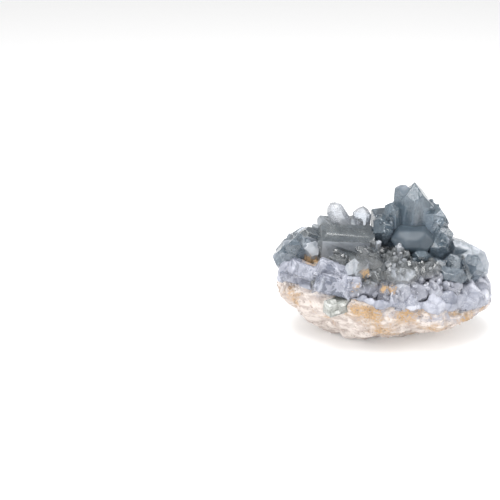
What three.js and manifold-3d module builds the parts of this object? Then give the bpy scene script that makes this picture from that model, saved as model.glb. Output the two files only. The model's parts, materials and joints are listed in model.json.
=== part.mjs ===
// Celestite crystal cluster: a hand-sized lump of pale rind whose upper side is covered with
// blocky blue-grey crystals, two of them colourless.
// Millimetres, +Z up, X along the length. The side with the tall peak on its right faces -Y.
// The origin is on the resting plane, under the middle of the bounding box.

import * as THREE from 'three';
import { ConvexGeometry } from 'three/addons/geometries/ConvexGeometry.js';
import { ImprovedNoise } from 'three/addons/math/ImprovedNoise.js';
import { mergeVertices } from 'three/addons/utils/BufferGeometryUtils.js';
import Module from 'manifold-3d';

const wasm = await Module();
wasm.setup();

// Driving dimensions

const gap = 0.3; // between neighbouring solids
const smallestPiece = 2; // cubic millimetres; anything less that a cut leaves behind is dropped

const rock = {
  halfLength: 47,
  halfWidth: 32,
  below: 23, // depth under the rim, before the base is cut flat
  above: 17, // rise of the dome over the rim
  rim: 20, // height of the rim at the middle
  rimSlope: -0.085, // the rim falls towards +X
  taper: 0.27, // share by which the bowl draws in at its foot
  footShift: -8, // the foot lies a little towards -X
  shallowing: 0.006, // share by which each millimetre towards +X makes the bowl shallower
  detail: 7,
  crowd: 0.3, // how far the mesh's points are drawn down, off the side that the crystals hide
  lumps: [
    { perMillimetre: 0.045, height: 2.2 },
    { perMillimetre: 0.12, height: 1.6 },
    { perMillimetre: 0.3, height: 0.8 },
  ],
  ledge: { perMillimetre: 0.085, height: 1.1, sharpness: 7 },
  pit: { perMillimetre: 0.21, depth: 2.6, above: 0.28 },
};

// Coarse domes on the same centre. The crystals start on the bed, out of sight. The mound is the
// mass of their feet, grown together, and the skin is the outer limit of the pale crust's feet.
const bed = { halfLength: 64, halfWidth: 48, above: 16, below: 60, rim: 12.5, rimSlope: -0.13, detail: 3 };
const mound = { halfLength: 46, halfWidth: 33, above: 24, below: 10, rim: 15, rimSlope: -0.13, detail: 2 };
const skin = { halfLength: 48, halfWidth: 33, above: 40, below: 40, rim: 20, rimSlope: -0.085, detail: 2 };
const crustFoot = 2.6; // height of the pale crust's feet over the bed
const crustBack = 4; // the pale crust ends at this Y

// The cell of celestite, in angstroms. Its edges give every angle between the crystal faces.
const cell = new THREE.Vector3(8.359, 5.352, 6.866);

// A habit lists the faces that close a crystal as [h, k, l, fullness]. Fullness 0 brings the face
// in until it meets its mirror twin on the crystal's axis, and 1 leaves the corner whole.
const habits = {
  point: [[0, 1, 1, 0.06], [0, 0, 1, 0.95], [2, 1, 0, 0.04], [1, 0, 1, 0.05]],
  spire: [[0, 1, 1, 0.12], [0, 0, 1, 0.9], [1, 1, 0, 0.1], [2, 0, 1, 0.12]],
  wedge: [[0, 0, 1, 1], [0, 1, 1, 0.42], [2, 1, 0, 0.12], [1, 0, 1, 0.5]],
  roof: [[0, 0, 1, 1], [0, 1, 1, 0.3], [2, 1, 0, 0.5], [1, 0, 1, 0.12]],
  block: [[0, 0, 1, 1], [0, 1, 0, 1], [0, 1, 1, 0.75], [2, 1, 0, 0.7], [1, 0, 1, 0.64]],
  cobble: [[0, 0, 1, 1], [0, 1, 1, 0.4], [2, 1, 0, 0.42], [1, 0, 1, 0.36]],
};
const ends = [1, 0, 0, 0]; // the flat faces that blunt the tip and close the root
const unevenness = 0.24; // share by which a face's place differs from crystal to crystal
const growWide = 1.12; // makes up for it in a crystal's width and depth

// Crystals placed by hand: [tip, root, width, depth, turn in degrees, habit]

const peakCrystals = [
  [[12.8, 5, 68.6], [12.8, 2, 32], 16, 19.5, 84, 'point'],
  [[7.6, 4, 67.3], [6, 3, 34], 5.4, 7, 8, 'roof'],
  [[8, -1.5, 61], [8.5, -2, 38], 6, 6, -14, 'spire'],
  [[23.5, 2, 57.6], [16, 2, 36], 9, 10, 20, 'wedge'],
  [[25.2, 0, 54.2], [17, 0, 35], 7, 8, -10, 'wedge'],
  [[26, -3, 50], [18, -3, 33], 7.5, 9, 15, 'block'],
  [[25.5, -7, 45.5], [19, -4, 33], 8, 8, 0, 'wedge'],
  [[10.2, -17, 47], [12.5, 2, 45], 14.2, 11.2, 2, 'cobble'],
  [[-1.5, -5, 53.5], [-0.5, 7, 38], 9, 9, 35, 'wedge'],
  [[-1.5, 5, 54.8], [-1, 8, 36], 8.2, 9, 10, 'block'],
  [[2.5, 1, 60], [4.5, 1, 36], 7, 7.5, 30, 'spire'],
  [[21, -11, 47], [23, -5, 32], 7, 6.5, -20, 'wedge'],
  [[25, -8.5, 49], [23, -5, 34], 5.5, 5.5, 30, 'spire'],
  [[12, -18.5, 42.5], [20, -9, 34], 6, 6, 0, 'wedge'],
  [[20, 12, 58], [17, 7, 34], 13, 12, 25, 'wedge'],
  [[7, 14, 57], [9, 8, 34], 11, 12, -30, 'wedge'],
];

const longPrismCrystals = [
  [[-30.5, -4, 42.4], [-6.5, -4, 41.4], 13, 15.5, -20, 'block'],
  [[-28, -1.5, 43.6], [-5.5, -3, 41.6], 12, 13.5, -6, 'block'],
  [[-30, 7, 45.8], [-12, 7, 44.5], 8, 11, -12, 'block'],
  [[-38, -4, 47.5], [-24, -2, 42], 6, 7.5, 25, 'wedge'],
  [[-32.5, 0, 50], [-26, 2, 43], 4, 4.5, 0, 'spire'],
  [[-24, 4, 49], [-20, 8, 36], 7.5, 8, 40, 'block'],
  [[-14, 9, 50.5], [-13, 8, 34], 8, 9, 15, 'block'],
  [[-9, -8, 45.5], [-8, -6, 34], 6, 6, 0, 'block'],
  [[-20, -14, 38], [-14, -6, 30], 12, 10, 10, 'cobble'],
];

const leftEndCrystals = [
  [[-39.5, -8, 47.5], [-36, -7, 28], 11.5, 11, -24, 'wedge'],
  [[-33, -10, 45.5], [-35, -6, 30], 8, 8.5, 35, 'roof'],
  [[-50, -6, 37.5], [-36, -7, 35], 9.5, 9, 8, 'wedge'],
  [[-45.5, -4, 42.5], [-37, -3, 32], 8, 8, -15, 'wedge'],
  [[-41, 4, 44], [-35, 3, 30], 9, 9, 20, 'wedge'],
  [[-46.5, 5, 38], [-36, 5, 30], 9, 9, 0, 'block'],
];

const middleCrystals = [
  [[-13, -19, 45], [-2, -22, 36.5], 6, 6, 0, 'block'],
  [[-15, -26, 42.5], [-11, -21, 30], 10, 8, 20, 'wedge'],
  [[4, -29, 33], [4, -14, 36], 16.5, 11.5, -8, 'cobble'],
  [[-5, -14, 47.5], [-4.5, -13, 34], 3, 3, 20, 'spire'],
  [[4.5, -16, 47], [6.5, -13, 34], 4, 4, -15, 'spire'],
  [[8, -18, 44], [7, -14, 33], 3.5, 3.5, 25, 'spire'],
  [[11, -24, 40.5], [12, -18, 31], 4.5, 4.5, 10, 'spire'],
  [[16, -24, 35], [16, -12, 35], 11, 9, 6, 'cobble'],
  [[-6, -27, 36], [-5, -18, 31], 9, 8, 30, 'wedge'],
  [[-9, -30, 31], [-8, -20, 29], 8, 7, -20, 'wedge'],
  [[-24, -19, 41], [-18, -14, 32], 8, 8, 20, 'wedge'],
];

const paleLeftCrystals = [
  [[-31, -23, 39.5], [-18, -23, 34], 6.5, 7, -14, 'block'],
  [[-43, -17, 37.5], [-28, -21, 33], 7, 8, 10, 'block'],
  [[-47.5, -12, 33.5], [-36, -12, 30], 8, 8, -10, 'cobble'],
  [[-32, -27, 33.5], [-18, -25, 29], 7.5, 8, 12, 'block'],
  [[-18, -31, 34], [-15, -22, 31], 7.5, 7, 0, 'wedge'],
];

const rightCrystals = [
  [[34, 4, 41.6], [29, 2, 27], 12, 11, 20, 'block'],
  [[46.5, 2, 33.5], [34, -1, 29], 13, 12, -8, 'cobble'],
  [[41.5, -8, 37], [34, -4, 24], 9, 9, 25, 'wedge'],
  [[31, -16, 37.5], [28, -6, 30], 10, 10, 10, 'wedge'],
  [[26, -22.5, 34], [28, -10, 31], 12.5, 8, -6, 'cobble'],
  [[34.5, -17, 33.5], [31, -8, 28], 7, 7, 30, 'wedge'],
  [[21.5, -17, 38.5], [22, -10, 30], 7.5, 7, -25, 'wedge'],
  [[37, 9, 35], [30, 8, 26], 9, 9, 0, 'wedge'],
];

const clearLeftCrystal = [[-24, 4, 58.5], [-15, 6, 44], 6.4, 5.6, 8, 'wedge'];
const clearRightCrystal = [[-9.5, 5.5, 56.5], [-10.5, 6, 44], 6.8, 5, -12, 'wedge'];

const greenishCrystal = [[-27.5, -32.5, 23], [-17, -25, 23.5], 6, 6, -10, 'block'];

// Crystals that follow a rule: rows around the dome, each leaning outwards from the rock.
// Angles are in degrees, counted from +X towards +Y. The height stands over the rock.

const paleRows = [
  { from: 184, to: 266, lift: 15, count: 6, height: [2, 4], width: [9, 12], lean: 0.4, seed: 41 },
  { from: 266, to: 372, lift: 22, count: 9, height: [2, 4], width: [11, 14], lean: 0.35, seed: 52 },
  { from: 292, to: 352, lift: 13, count: 4, height: [0.3, 1.1], width: [8.5, 10.5], lean: 0.15, seed: 64 },
];
const middleRows = [
  { from: 222, to: 318, lift: 31, count: 8, height: [3.5, 6], width: [6.5, 8.5], lean: 0.7, seed: 74 },
];
const backRows = [
  { from: 16, to: 166, lift: 17, count: 7, height: [2.5, 5], width: [10, 13], lean: 0.55, seed: 3 },
  { from: 18, to: 166, lift: 36, count: 7, height: [7, 12], width: [9, 13], lean: 0.7, seed: 5 },
  { from: 40, to: 160, lift: 57, count: 3, height: [8, 12], width: [10, 13], lean: 0.7, seed: 8 },
];
const rootDepth = 8; // how far a ruled crystal's root goes into the rock

// Helpers

function randomFrom(seed) {
  let state = (seed * 2654435761) >>> 0;
  return () => {
    state = (Math.imul(state ^ (state >>> 15), 2246822519) + 3266489917) >>> 0;
    return ((state ^ (state >>> 13)) >>> 0) / 4294967296;
  };
}

const between = (random, [low, high]) => low + (high - low) * random();

function solidOf(geometry) {
  const bare = geometry.index ? geometry.toNonIndexed() : geometry.clone();
  bare.deleteAttribute('normal');
  bare.deleteAttribute('uv');
  const merged = mergeVertices(bare, 1e-4);
  const vertProperties = new Float32Array(merged.attributes.position.array);
  const triVerts = new Uint32Array(merged.index.array);
  return new wasm.Manifold(new wasm.Mesh({ numProp: 3, vertProperties, triVerts }));
}

function geometryOf(solid) {
  const { vertProperties, triVerts } = solid.getMesh();
  const geometry = new THREE.BufferGeometry();
  geometry.setAttribute('position', new THREE.BufferAttribute(vertProperties, 3));
  geometry.setIndex(new THREE.BufferAttribute(triVerts, 1));
  return geometry;
}

function largest(name, solid) {
  const pieces = solid.decompose().sort((one, two) => two.volume() - one.volume());
  if (pieces.length > 1 && pieces[1].volume() > smallestPiece) {
    console.warn(`${name}: dropped a piece of ${pieces[1].volume().toFixed(1)} cubic millimetres`);
  }
  return pieces[0];
}

// The rock: a low dome on a deeper bowl, roughened by noise

const noise = new ImprovedNoise();

const noiseAt = (point, f) => noise.noise(point.x * f + 7.3, point.y * f + 2.9, point.z * f + 5.1);

function roughness(point) {
  const { ledge, pit } = rock;
  let height = 0;
  for (const lump of rock.lumps) height += lump.height * noiseAt(point, lump.perMillimetre);
  height += ledge.height * Math.tanh(ledge.sharpness * noiseAt(point, ledge.perMillimetre));
  return height - pit.depth * Math.max(0, noiseAt(point, pit.perMillimetre) - pit.above);
}

// Point of the rock's surface in a direction from the middle of its rim, with or without its
// roughness
function rockPoint(direction, rough) {
  const shallow = 1 - rock.shallowing * Math.max(0, direction.x * rock.halfLength);
  const rise = direction.z > 0 ? rock.above : rock.below * shallow;
  const draw = 1 - rock.taper * Math.min(0, direction.z) ** 2;
  const point = new THREE.Vector3(
    direction.x * rock.halfLength * draw, direction.y * rock.halfWidth * draw, direction.z * rise,
  );
  const outward = new THREE.Vector3(
    direction.x / rock.halfLength, direction.y / rock.halfWidth, direction.z / rise,
  ).normalize();
  if (rough) point.addScaledVector(outward, roughness(point));
  point.x += direction.z < 0 ? rock.footShift * direction.z ** 2 : 0;
  point.z += rock.rim + rock.rimSlope * point.x;
  return { point, outward };
}

function rockSolid() {
  const geometry = new THREE.IcosahedronGeometry(1, rock.detail);
  const positions = geometry.attributes.position;
  for (let i = 0; i < positions.count; i += 1) {
    const direction = new THREE.Vector3().fromBufferAttribute(positions, i).normalize();
    direction.z -= rock.crowd * (1 - direction.z ** 2);
    const flat = Math.sqrt(Math.max(0, 1 - direction.z ** 2) / (direction.x ** 2 + direction.y ** 2 || 1));
    direction.x *= flat;
    direction.y *= flat;
    const { point } = rockPoint(direction, true);
    positions.setXYZ(i, point.x, point.y, point.z);
  }
  const under = new THREE.BoxGeometry(3 * rock.halfLength, 3 * rock.halfWidth, rock.below);
  under.translate(0, 0, -rock.below / 2);
  return solidOf(geometry).subtract(solidOf(under));
}

function domeSolid(dome, grow = 0) {
  const geometry = new THREE.IcosahedronGeometry(1, dome.detail);
  const positions = geometry.attributes.position;
  for (let i = 0; i < positions.count; i += 1) {
    const point = new THREE.Vector3().fromBufferAttribute(positions, i);
    point.x *= dome.halfLength;
    point.y *= dome.halfWidth;
    point.z *= point.z > 0 ? dome.above : dome.below;
    positions.setXYZ(i, point.x, point.y, point.z + dome.rim + dome.rimSlope * point.x + grow);
  }
  return solidOf(geometry);
}

// The feet of the pale crust: a low ledge along the front of the bed
function crustFootSolid(grow = 0) {
  const front = new THREE.BoxGeometry(3 * rock.halfLength, 3 * rock.halfWidth, 3 * rock.halfWidth);
  front.translate(0, crustBack - 1.5 * rock.halfWidth, 0);
  return domeSolid(bed, crustFoot + grow).intersect(domeSolid(skin)).intersect(solidOf(front));
}

// One crystal: the space inside its faces

function facePlanes([tip, root, width, depth, turn, habit], seed, grow) {
  const random = randomFrom(seed);
  const start = new THREE.Vector3(...root);
  const end = new THREE.Vector3(...tip);
  const along = end.clone().sub(start);
  const half = new THREE.Vector3(along.length(), width * growWide, depth * growWide).divideScalar(2);
  along.normalize();
  const front = new THREE.Vector3(0, -1, 0);
  if (Math.abs(along.dot(front)) > 0.85) front.set(0, 0, 1);
  const facing = front.addScaledVector(along, -front.dot(along)).normalize();
  facing.applyAxisAngle(along, THREE.MathUtils.degToRad(turn));
  const across = new THREE.Vector3().crossVectors(along, facing);
  const centre = start.add(end).multiplyScalar(0.5);
  const planes = [];
  for (const [h, k, l, fullness] of [...habits[habit], ends]) {
    for (const signH of h && !k && !l ? [1, -1] : [Math.sign(h)]) {
      for (const signK of k ? [1, -1] : [0]) {
        for (const signL of l ? [1, -1] : [0]) {
          const n = new THREE.Vector3(h / cell.x, k / cell.y, l / cell.z).normalize();
          const main = h ? n.x * half.x : Math.max(n.y * half.y, n.z * half.z);
          const rest = n.x * half.x + n.y * half.y + n.z * half.z - main;
          const uneven = unevenness * random() * (h ? 0.5 * rest : main);
          const distance = main + fullness * rest - (k || l ? uneven : 0);
          const normal = new THREE.Vector3()
            .addScaledVector(along, signH * n.x)
            .addScaledVector(across, signK * n.y)
            .addScaledVector(facing, signL * n.z);
          planes.push(new THREE.Plane(normal, -(normal.dot(centre) + distance + grow)));
        }
      }
    }
  }
  return planes;
}

function crystalSolid(crystal, seed, grow = 0) {
  const planes = facePlanes(crystal, seed, grow);
  const corners = [];
  const matrix = new THREE.Matrix3();
  for (let i = 0; i < planes.length; i += 1) {
    for (let j = i + 1; j < planes.length; j += 1) {
      for (let k = j + 1; k < planes.length; k += 1) {
        const [a, b, c] = [planes[i], planes[j], planes[k]];
        matrix.set(...a.normal.toArray(), ...b.normal.toArray(), ...c.normal.toArray());
        if (Math.abs(matrix.determinant()) < 1e-4) continue;
        const corner = new THREE.Vector3(-a.constant, -b.constant, -c.constant);
        corner.applyMatrix3(matrix.invert());
        if (planes.some((plane) => plane.distanceToPoint(corner) > 1e-5)) continue;
        if (corners.some((other) => other.distanceToSquared(corner) < 1e-4)) continue;
        corners.push(corner);
      }
    }
  }
  return solidOf(new ConvexGeometry(corners));
}

function ruledCrystals(rows) {
  const crystals = [];
  for (const { from, to, lift, count, height, width, lean, seed } of rows) {
    const random = randomFrom(seed);
    for (let i = 0; i < count; i += 1) {
      const spread = 0.4 * (random() - 0.5);
      const angle = THREE.MathUtils.degToRad(from + (to - from) * ((i + 0.5 + spread) / count));
      const rise = THREE.MathUtils.degToRad(lift + 10 * (random() - 0.5));
      const direction = new THREE.Vector3(
        Math.cos(angle) * Math.cos(rise), Math.sin(angle) * Math.cos(rise), Math.sin(rise),
      );
      const { point, outward } = rockPoint(direction, false);
      const aside = new THREE.Vector3(random() - 0.5, random() - 0.5, random() - 0.2);
      const along = outward.clone().addScaledVector(aside, lean).normalize();
      const root = point.clone().addScaledVector(along, -rootDepth);
      const tip = point.clone().addScaledVector(along, between(random, height));
      const across = between(random, width);
      const habit = ['wedge', 'block', 'cobble', 'wedge', 'roof'][Math.floor(5 * random())];
      const depth = across * (0.8 + 0.3 * random());
      crystals.push([tip.toArray(), root.toArray(), across, depth, 90 * random(), habit]);
    }
  }
  return crystals;
}

// Groups of crystals, in the order in which they keep their shape: each is cut by the bed and
// by every group before it.

const blueCrystals = [
  ...peakCrystals,
  ...longPrismCrystals,
  ...leftEndCrystals,
  ...rightCrystals,
  ...middleCrystals,
  ...ruledCrystals([...middleRows, ...backRows]),
];
const paleCrystals = [...paleLeftCrystals, ...ruledCrystals(paleRows)];

const groups = [
  { name: 'clear_crystal_left', crystals: [clearLeftCrystal], colour: '#d6dce1', seed: 200 },
  { name: 'clear_crystal_right', crystals: [clearRightCrystal], colour: '#d6dce1', seed: 210 },
  {
    name: 'blue_crystals', crystals: blueCrystals, foot: (grow) => domeSolid(mound, grow),
    colour: '#667480', seed: 300,
  },
  { name: 'pale_crust', crystals: paleCrystals, foot: crustFootSolid, colour: '#b0b4c4', seed: 800 },
];

// Crystals and their foot in one solid
function grown(crystals, foot, seed, grow = 0) {
  const solids = crystals.map((crystal, index) => crystalSolid(crystal, seed + index, grow));
  if (foot) solids.push(foot(grow));
  return solids.reduce((sum, solid) => sum.add(solid));
}

function meshOf(name, solid, colour, roughnessValue) {
  const material = new THREE.MeshStandardMaterial({
    color: colour, roughness: roughnessValue, metalness: 0,
  });
  const mesh = new THREE.Mesh(geometryOf(solid), material);
  mesh.name = name;
  return mesh;
}

// The greenish crystal stands in a socket of the rock's side, under the bed.

const greenishSeed = 220;
const group = new THREE.Group();
const socket = crystalSolid(greenishCrystal, greenishSeed, gap);
const matrix = rockSolid().intersect(domeSolid(bed)).subtract(socket);
group.add(meshOf('matrix', largest('matrix', matrix), '#d9cbbd', 0.9));
group.add(meshOf('greenish_crystal', crystalSolid(greenishCrystal, greenishSeed), '#b9bfb6', 0.3));
const earlier = [domeSolid(bed, gap), socket];
for (const { name, crystals, foot, colour, seed } of groups) {
  const solid = earlier.reduce((rest, other) => rest.subtract(other), grown(crystals, foot, seed));
  group.add(meshOf(name, largest(name, solid), colour, 0.2));
  earlier.push(grown(crystals, foot, seed, gap));
}

const box = new THREE.Box3().setFromObject(group);
const middle = box.getCenter(new THREE.Vector3());
group.position.set(-middle.x, -middle.y, -box.min.z);

export default group;
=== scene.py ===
import json
import math
from itertools import combinations

import bmesh
import bpy
import numpy as np
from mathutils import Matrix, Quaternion, Vector, noise

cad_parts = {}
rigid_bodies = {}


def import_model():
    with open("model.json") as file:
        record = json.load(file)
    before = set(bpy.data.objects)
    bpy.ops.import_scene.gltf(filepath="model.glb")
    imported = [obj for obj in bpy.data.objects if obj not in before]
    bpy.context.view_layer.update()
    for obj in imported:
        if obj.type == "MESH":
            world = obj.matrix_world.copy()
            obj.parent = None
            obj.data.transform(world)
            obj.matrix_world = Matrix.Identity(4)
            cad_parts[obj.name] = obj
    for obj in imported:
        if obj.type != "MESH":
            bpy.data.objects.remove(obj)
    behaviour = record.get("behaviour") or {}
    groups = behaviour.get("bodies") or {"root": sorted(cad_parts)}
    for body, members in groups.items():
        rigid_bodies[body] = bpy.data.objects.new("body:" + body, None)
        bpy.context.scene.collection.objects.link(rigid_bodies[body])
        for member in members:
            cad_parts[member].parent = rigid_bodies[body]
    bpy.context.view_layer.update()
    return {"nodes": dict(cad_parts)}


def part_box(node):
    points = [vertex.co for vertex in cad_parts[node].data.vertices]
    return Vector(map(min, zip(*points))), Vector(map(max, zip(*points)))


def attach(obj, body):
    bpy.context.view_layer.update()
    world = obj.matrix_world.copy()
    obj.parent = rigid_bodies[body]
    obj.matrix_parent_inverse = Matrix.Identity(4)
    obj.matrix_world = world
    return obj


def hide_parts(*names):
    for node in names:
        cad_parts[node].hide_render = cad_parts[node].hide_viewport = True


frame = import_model()
mm = 0.001

# Crystals. The lists and rules repeat those of the solids, in millimetres, so that every face
# lies where the solids have it.

cell = (8.359, 5.352, 6.866)  # celestite's cell edges: they set every angle between faces
habits = {  # faces as (h, k, l, fullness)
    "point": [(0, 1, 1, 0.06), (0, 0, 1, 0.95), (2, 1, 0, 0.04), (1, 0, 1, 0.05)],
    "spire": [(0, 1, 1, 0.12), (0, 0, 1, 0.9), (1, 1, 0, 0.1), (2, 0, 1, 0.12)],
    "wedge": [(0, 0, 1, 1), (0, 1, 1, 0.42), (2, 1, 0, 0.12), (1, 0, 1, 0.5)],
    "roof": [(0, 0, 1, 1), (0, 1, 1, 0.3), (2, 1, 0, 0.5), (1, 0, 1, 0.12)],
    "block": [(0, 0, 1, 1), (0, 1, 0, 1), (0, 1, 1, 0.75), (2, 1, 0, 0.7), (1, 0, 1, 0.64)],
    "cobble": [(0, 0, 1, 1), (0, 1, 1, 0.4), (2, 1, 0, 0.42), (1, 0, 1, 0.36)],
}
ends = (1, 0, 0, 0)
unevenness = 0.24
growWide = 1.12


def draws(seed):
    state = (seed * 2654435761) % 2**32
    while True:
        state = ((state ^ (state >> 15)) * 2246822519 + 3266489917) % 2**32
        yield (state ^ (state >> 13)) / 2**32


def between(draw, span):
    return span[0] + (span[1] - span[0]) * next(draw)


def crystalAxes(crystal):
    tip, root, width, depth, turn, habit, tone = crystal
    along = (Vector(tip) - Vector(root)).normalized()
    front = Vector((0, 0, 1)) if abs(along.y) > 0.85 else Vector((0, -1, 0))
    facing = (front - along * front.dot(along)).normalized()
    facing.rotate(Quaternion(along, math.radians(turn)))
    return along, along.cross(facing), facing


def facePlanes(crystal, seed):
    tip, root, width, depth, turn, habit, tone = crystal
    draw = draws(seed)
    length = (Vector(tip) - Vector(root)).length
    axes = np.array([tuple(axis) for axis in crystalAxes(crystal)])
    half = np.array((length, width * growWide, depth * growWide)) / 2
    normals, reaches = [], []
    for h, k, l, fullness in habits[habit] + [ends]:
        n = np.array((h / cell[0], k / cell[1], l / cell[2]))
        n /= np.linalg.norm(n)
        spans = n * half
        main = spans[0] if h else max(spans[1], spans[2])
        rest = spans.sum() - main
        for signH in (1, -1) if h and not k and not l else (1 if h else 0,):
            for signK in (1, -1) if k else (0,):
                for signL in (1, -1) if l else (0,):
                    uneven = unevenness * next(draw) * (0.5 * rest if h else main)
                    normals.append((n * (signH, signK, signL)) @ axes)
                    reaches.append(main + fullness * rest - (uneven if k or l else 0))
    return np.array(normals), np.array(reaches)


def cornersOf(crystal, seed):
    normals, reaches = facePlanes(crystal, seed)
    trios = np.array(list(combinations(range(len(normals)), 3)))
    sets = normals[trios]
    crossing = np.abs(np.linalg.det(sets)) > 1e-4
    points = np.linalg.solve(sets[crossing], reaches[trios[crossing]][..., None])[..., 0]
    points = points[(points @ normals.T <= reaches + 1e-5).all(axis=1)]
    points = np.unique(np.round(points, 3), axis=0)
    middle = (np.array(crystal[0]) + np.array(crystal[1])) / 2
    return points + middle


# The bowl under the crystals, and rows of crystals that stand around it
dome = {"halfLength": 47, "halfWidth": 32, "above": 17, "rim": 20, "slope": -0.085}
rootDepth = 8


def rowsOfCrystals(rows):
    crystals = []
    for row in rows:
        draw = draws(row["seed"])
        for i in range(row["count"]):
            spread = 0.4 * (next(draw) - 0.5)
            share = (i + 0.5 + spread) / row["count"]
            angle = math.radians(row["from"] + (row["to"] - row["from"]) * share)
            lift = math.radians(row["lift"] + 10 * (next(draw) - 0.5))
            level = math.cos(lift)
            way = Vector((math.cos(angle) * level, math.sin(angle) * level, math.sin(lift)))
            sizes = Vector((dome["halfLength"], dome["halfWidth"], dome["above"]))
            outward = Vector([w / s for w, s in zip(way, sizes)]).normalized()
            point = way * sizes
            point.z += dome["rim"] + dome["slope"] * point.x
            aside = Vector((next(draw) - 0.5, next(draw) - 0.5, next(draw) - 0.2))
            along = (outward + aside * row["lean"]).normalized()
            tip = point + along * between(draw, row["height"])
            width = between(draw, row["width"])
            habit = ("wedge", "block", "cobble", "wedge", "roof")[int(5 * next(draw))]
            depth = width * (0.8 + 0.3 * next(draw))
            turn = 90 * next(draw)
            tone = between(draw, row["tone"])
            crystals.append((tip, point - along * rootDepth, width, depth, turn, habit, tone))
    return crystals


# Numbers added to a crystal's own seed, so that each kind of draw goes its own way
companionSeed, shadeSeed = 5000, 9000
companionShades = {"from": 900, "perCrystal": 17}


# Small crystals that stand beside a large one, nearly parallel to it
def companionsOf(crystal, seed, growth):
    tip, root, width, depth, turn, habit, tone = crystal
    along, across, facing = crystalAxes(crystal)
    length = (Vector(tip) - Vector(root)).length
    draw = draws(seed + companionSeed)
    companions = []
    for i in range(growth["companions"]):
        angle = 2 * math.pi * next(draw)
        side = across * (math.cos(angle) * width / 2) + facing * (math.sin(angle) * depth / 2)
        size = between(draw, growth["size"])
        reach = length * between(draw, growth["length"])
        top = min(length, length * between(draw, growth["height"]) + reach / 2)
        lean = Vector((next(draw) - 0.5, next(draw) - 0.5, next(draw) - 0.5)) * growth["misfit"]
        way = (along + lean).normalized()
        head = Vector(root) + along * top + side * between(draw, growth["out"])
        shade = tone + growth["shades"] * (next(draw) - 0.4)
        companions.append((head, head - way * reach, width * size, depth * size, turn, habit, shade))
    return companions


clearLeft = ((-24, 4, 58.5), (-15, 6, 44), 6.4, 5.6, 8, "wedge", 0.6)
clearRight = ((-9.5, 5.5, 56.5), (-10.5, 6, 44), 6.8, 5, -12, "wedge", 0.5)
greenish = ((-27.5, -32.5, 23), (-17, -25, 23.5), 6, 6, -10, "block", 0.6)

# Where the cluster's own coordinates lie in the frame, read off one crystal that is whole there
place = Vector(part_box("clear_crystal_left")[0]) - Vector(cornersOf(clearLeft, 200).min(axis=0)) * mm


# Node maths: a Field wraps a socket, and an expression on fields adds its Math nodes
class Field:
    def __init__(self, nodes, socket):
        self.nodes = nodes
        self.socket = socket

    def __add__(self, other):
        return self.nodes.math("ADD", self, other)

    def __sub__(self, other):
        return self.nodes.math("SUBTRACT", self, other)

    def __rsub__(self, other):
        return self.nodes.math("SUBTRACT", other, self)

    def __mul__(self, other):
        return self.nodes.math("MULTIPLY", self, other)

    def __gt__(self, other):
        return self.nodes.math("GREATER_THAN", self, other)

    __radd__ = __add__
    __rmul__ = __mul__


class Nodes:
    def node(self, kind, settings={}, sockets={}):
        made = self.tree.nodes.new(kind)
        for key, value in settings.items():
            setattr(made, key, value)
        for key, value in sockets.items():
            if isinstance(value, Field):
                value = value.socket
            if isinstance(value, bpy.types.NodeSocket):
                self.tree.links.new(value, made.inputs[key])
            else:
                made.inputs[key].default_value = value
        return made

    def math(self, operation, first, second):
        made = self.node("ShaderNodeMath", {"operation": operation}, {0: first, 1: second})
        return Field(self, made.outputs[0])


# Geometry Nodes. A tree has named inputs, and a modifier gives them by their sockets' identifiers.
class Growth(Nodes):
    def __init__(self, name, inputs):
        self.tree = bpy.data.node_groups.new(name, "GeometryNodeTree")
        face = self.tree.interface
        face.new_socket(name="Geometry", in_out="OUTPUT", socket_type="NodeSocketGeometry")
        face.new_socket(name="Geometry", in_out="INPUT", socket_type="NodeSocketGeometry")
        self.keys = {}
        for label, kind in inputs.items():
            socket = face.new_socket(name=label, in_out="INPUT", socket_type="NodeSocket" + kind)
            self.keys[label] = socket.identifier
        self.sockets = self.node("NodeGroupInput").outputs

    def given(self, label):
        return Field(self, self.sockets[label])

    def carried(self, name, kind="FLOAT"):
        made = self.node("GeometryNodeInputNamedAttribute", {"data_type": kind}, {"Name": name})
        return Field(self, made.outputs[0])

    def random(self, low, high, seed):
        made = self.node("FunctionNodeRandomValue", {"data_type": "FLOAT"}, {2: low, 3: high, "Seed": seed})
        return Field(self, made.outputs[1])

    def close(self, geometry):
        real = self.node("GeometryNodeRealizeInstances", {}, {0: geometry}).outputs[0]
        dressed = self.node("GeometryNodeSetMaterial", {}, {0: real, "Material": self.given("Material")})
        self.node("NodeGroupOutput", {}, {0: dressed.outputs[0]})

    def put(self, piece, values):
        modifier = piece.modifiers.new(self.tree.name, "NODES")
        modifier.node_group = self.tree
        for label, value in values.items():
            modifier[self.keys[label]] = value


# All shells in one collection become one closed skin
def joinTree():
    growth = Growth("joinShells", {"Shells": "Collection", "Material": "Material"})
    shells = growth.node("GeometryNodeCollectionInfo", {}, {
        "Collection": growth.given("Shells"), "Separate Children": True})
    union = growth.node("GeometryNodeMeshBoolean", {"operation": "UNION", "solver": "MANIFOLD"}, {
        1: shells.outputs[0]})
    growth.close(union.outputs[0])
    return growth


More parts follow.
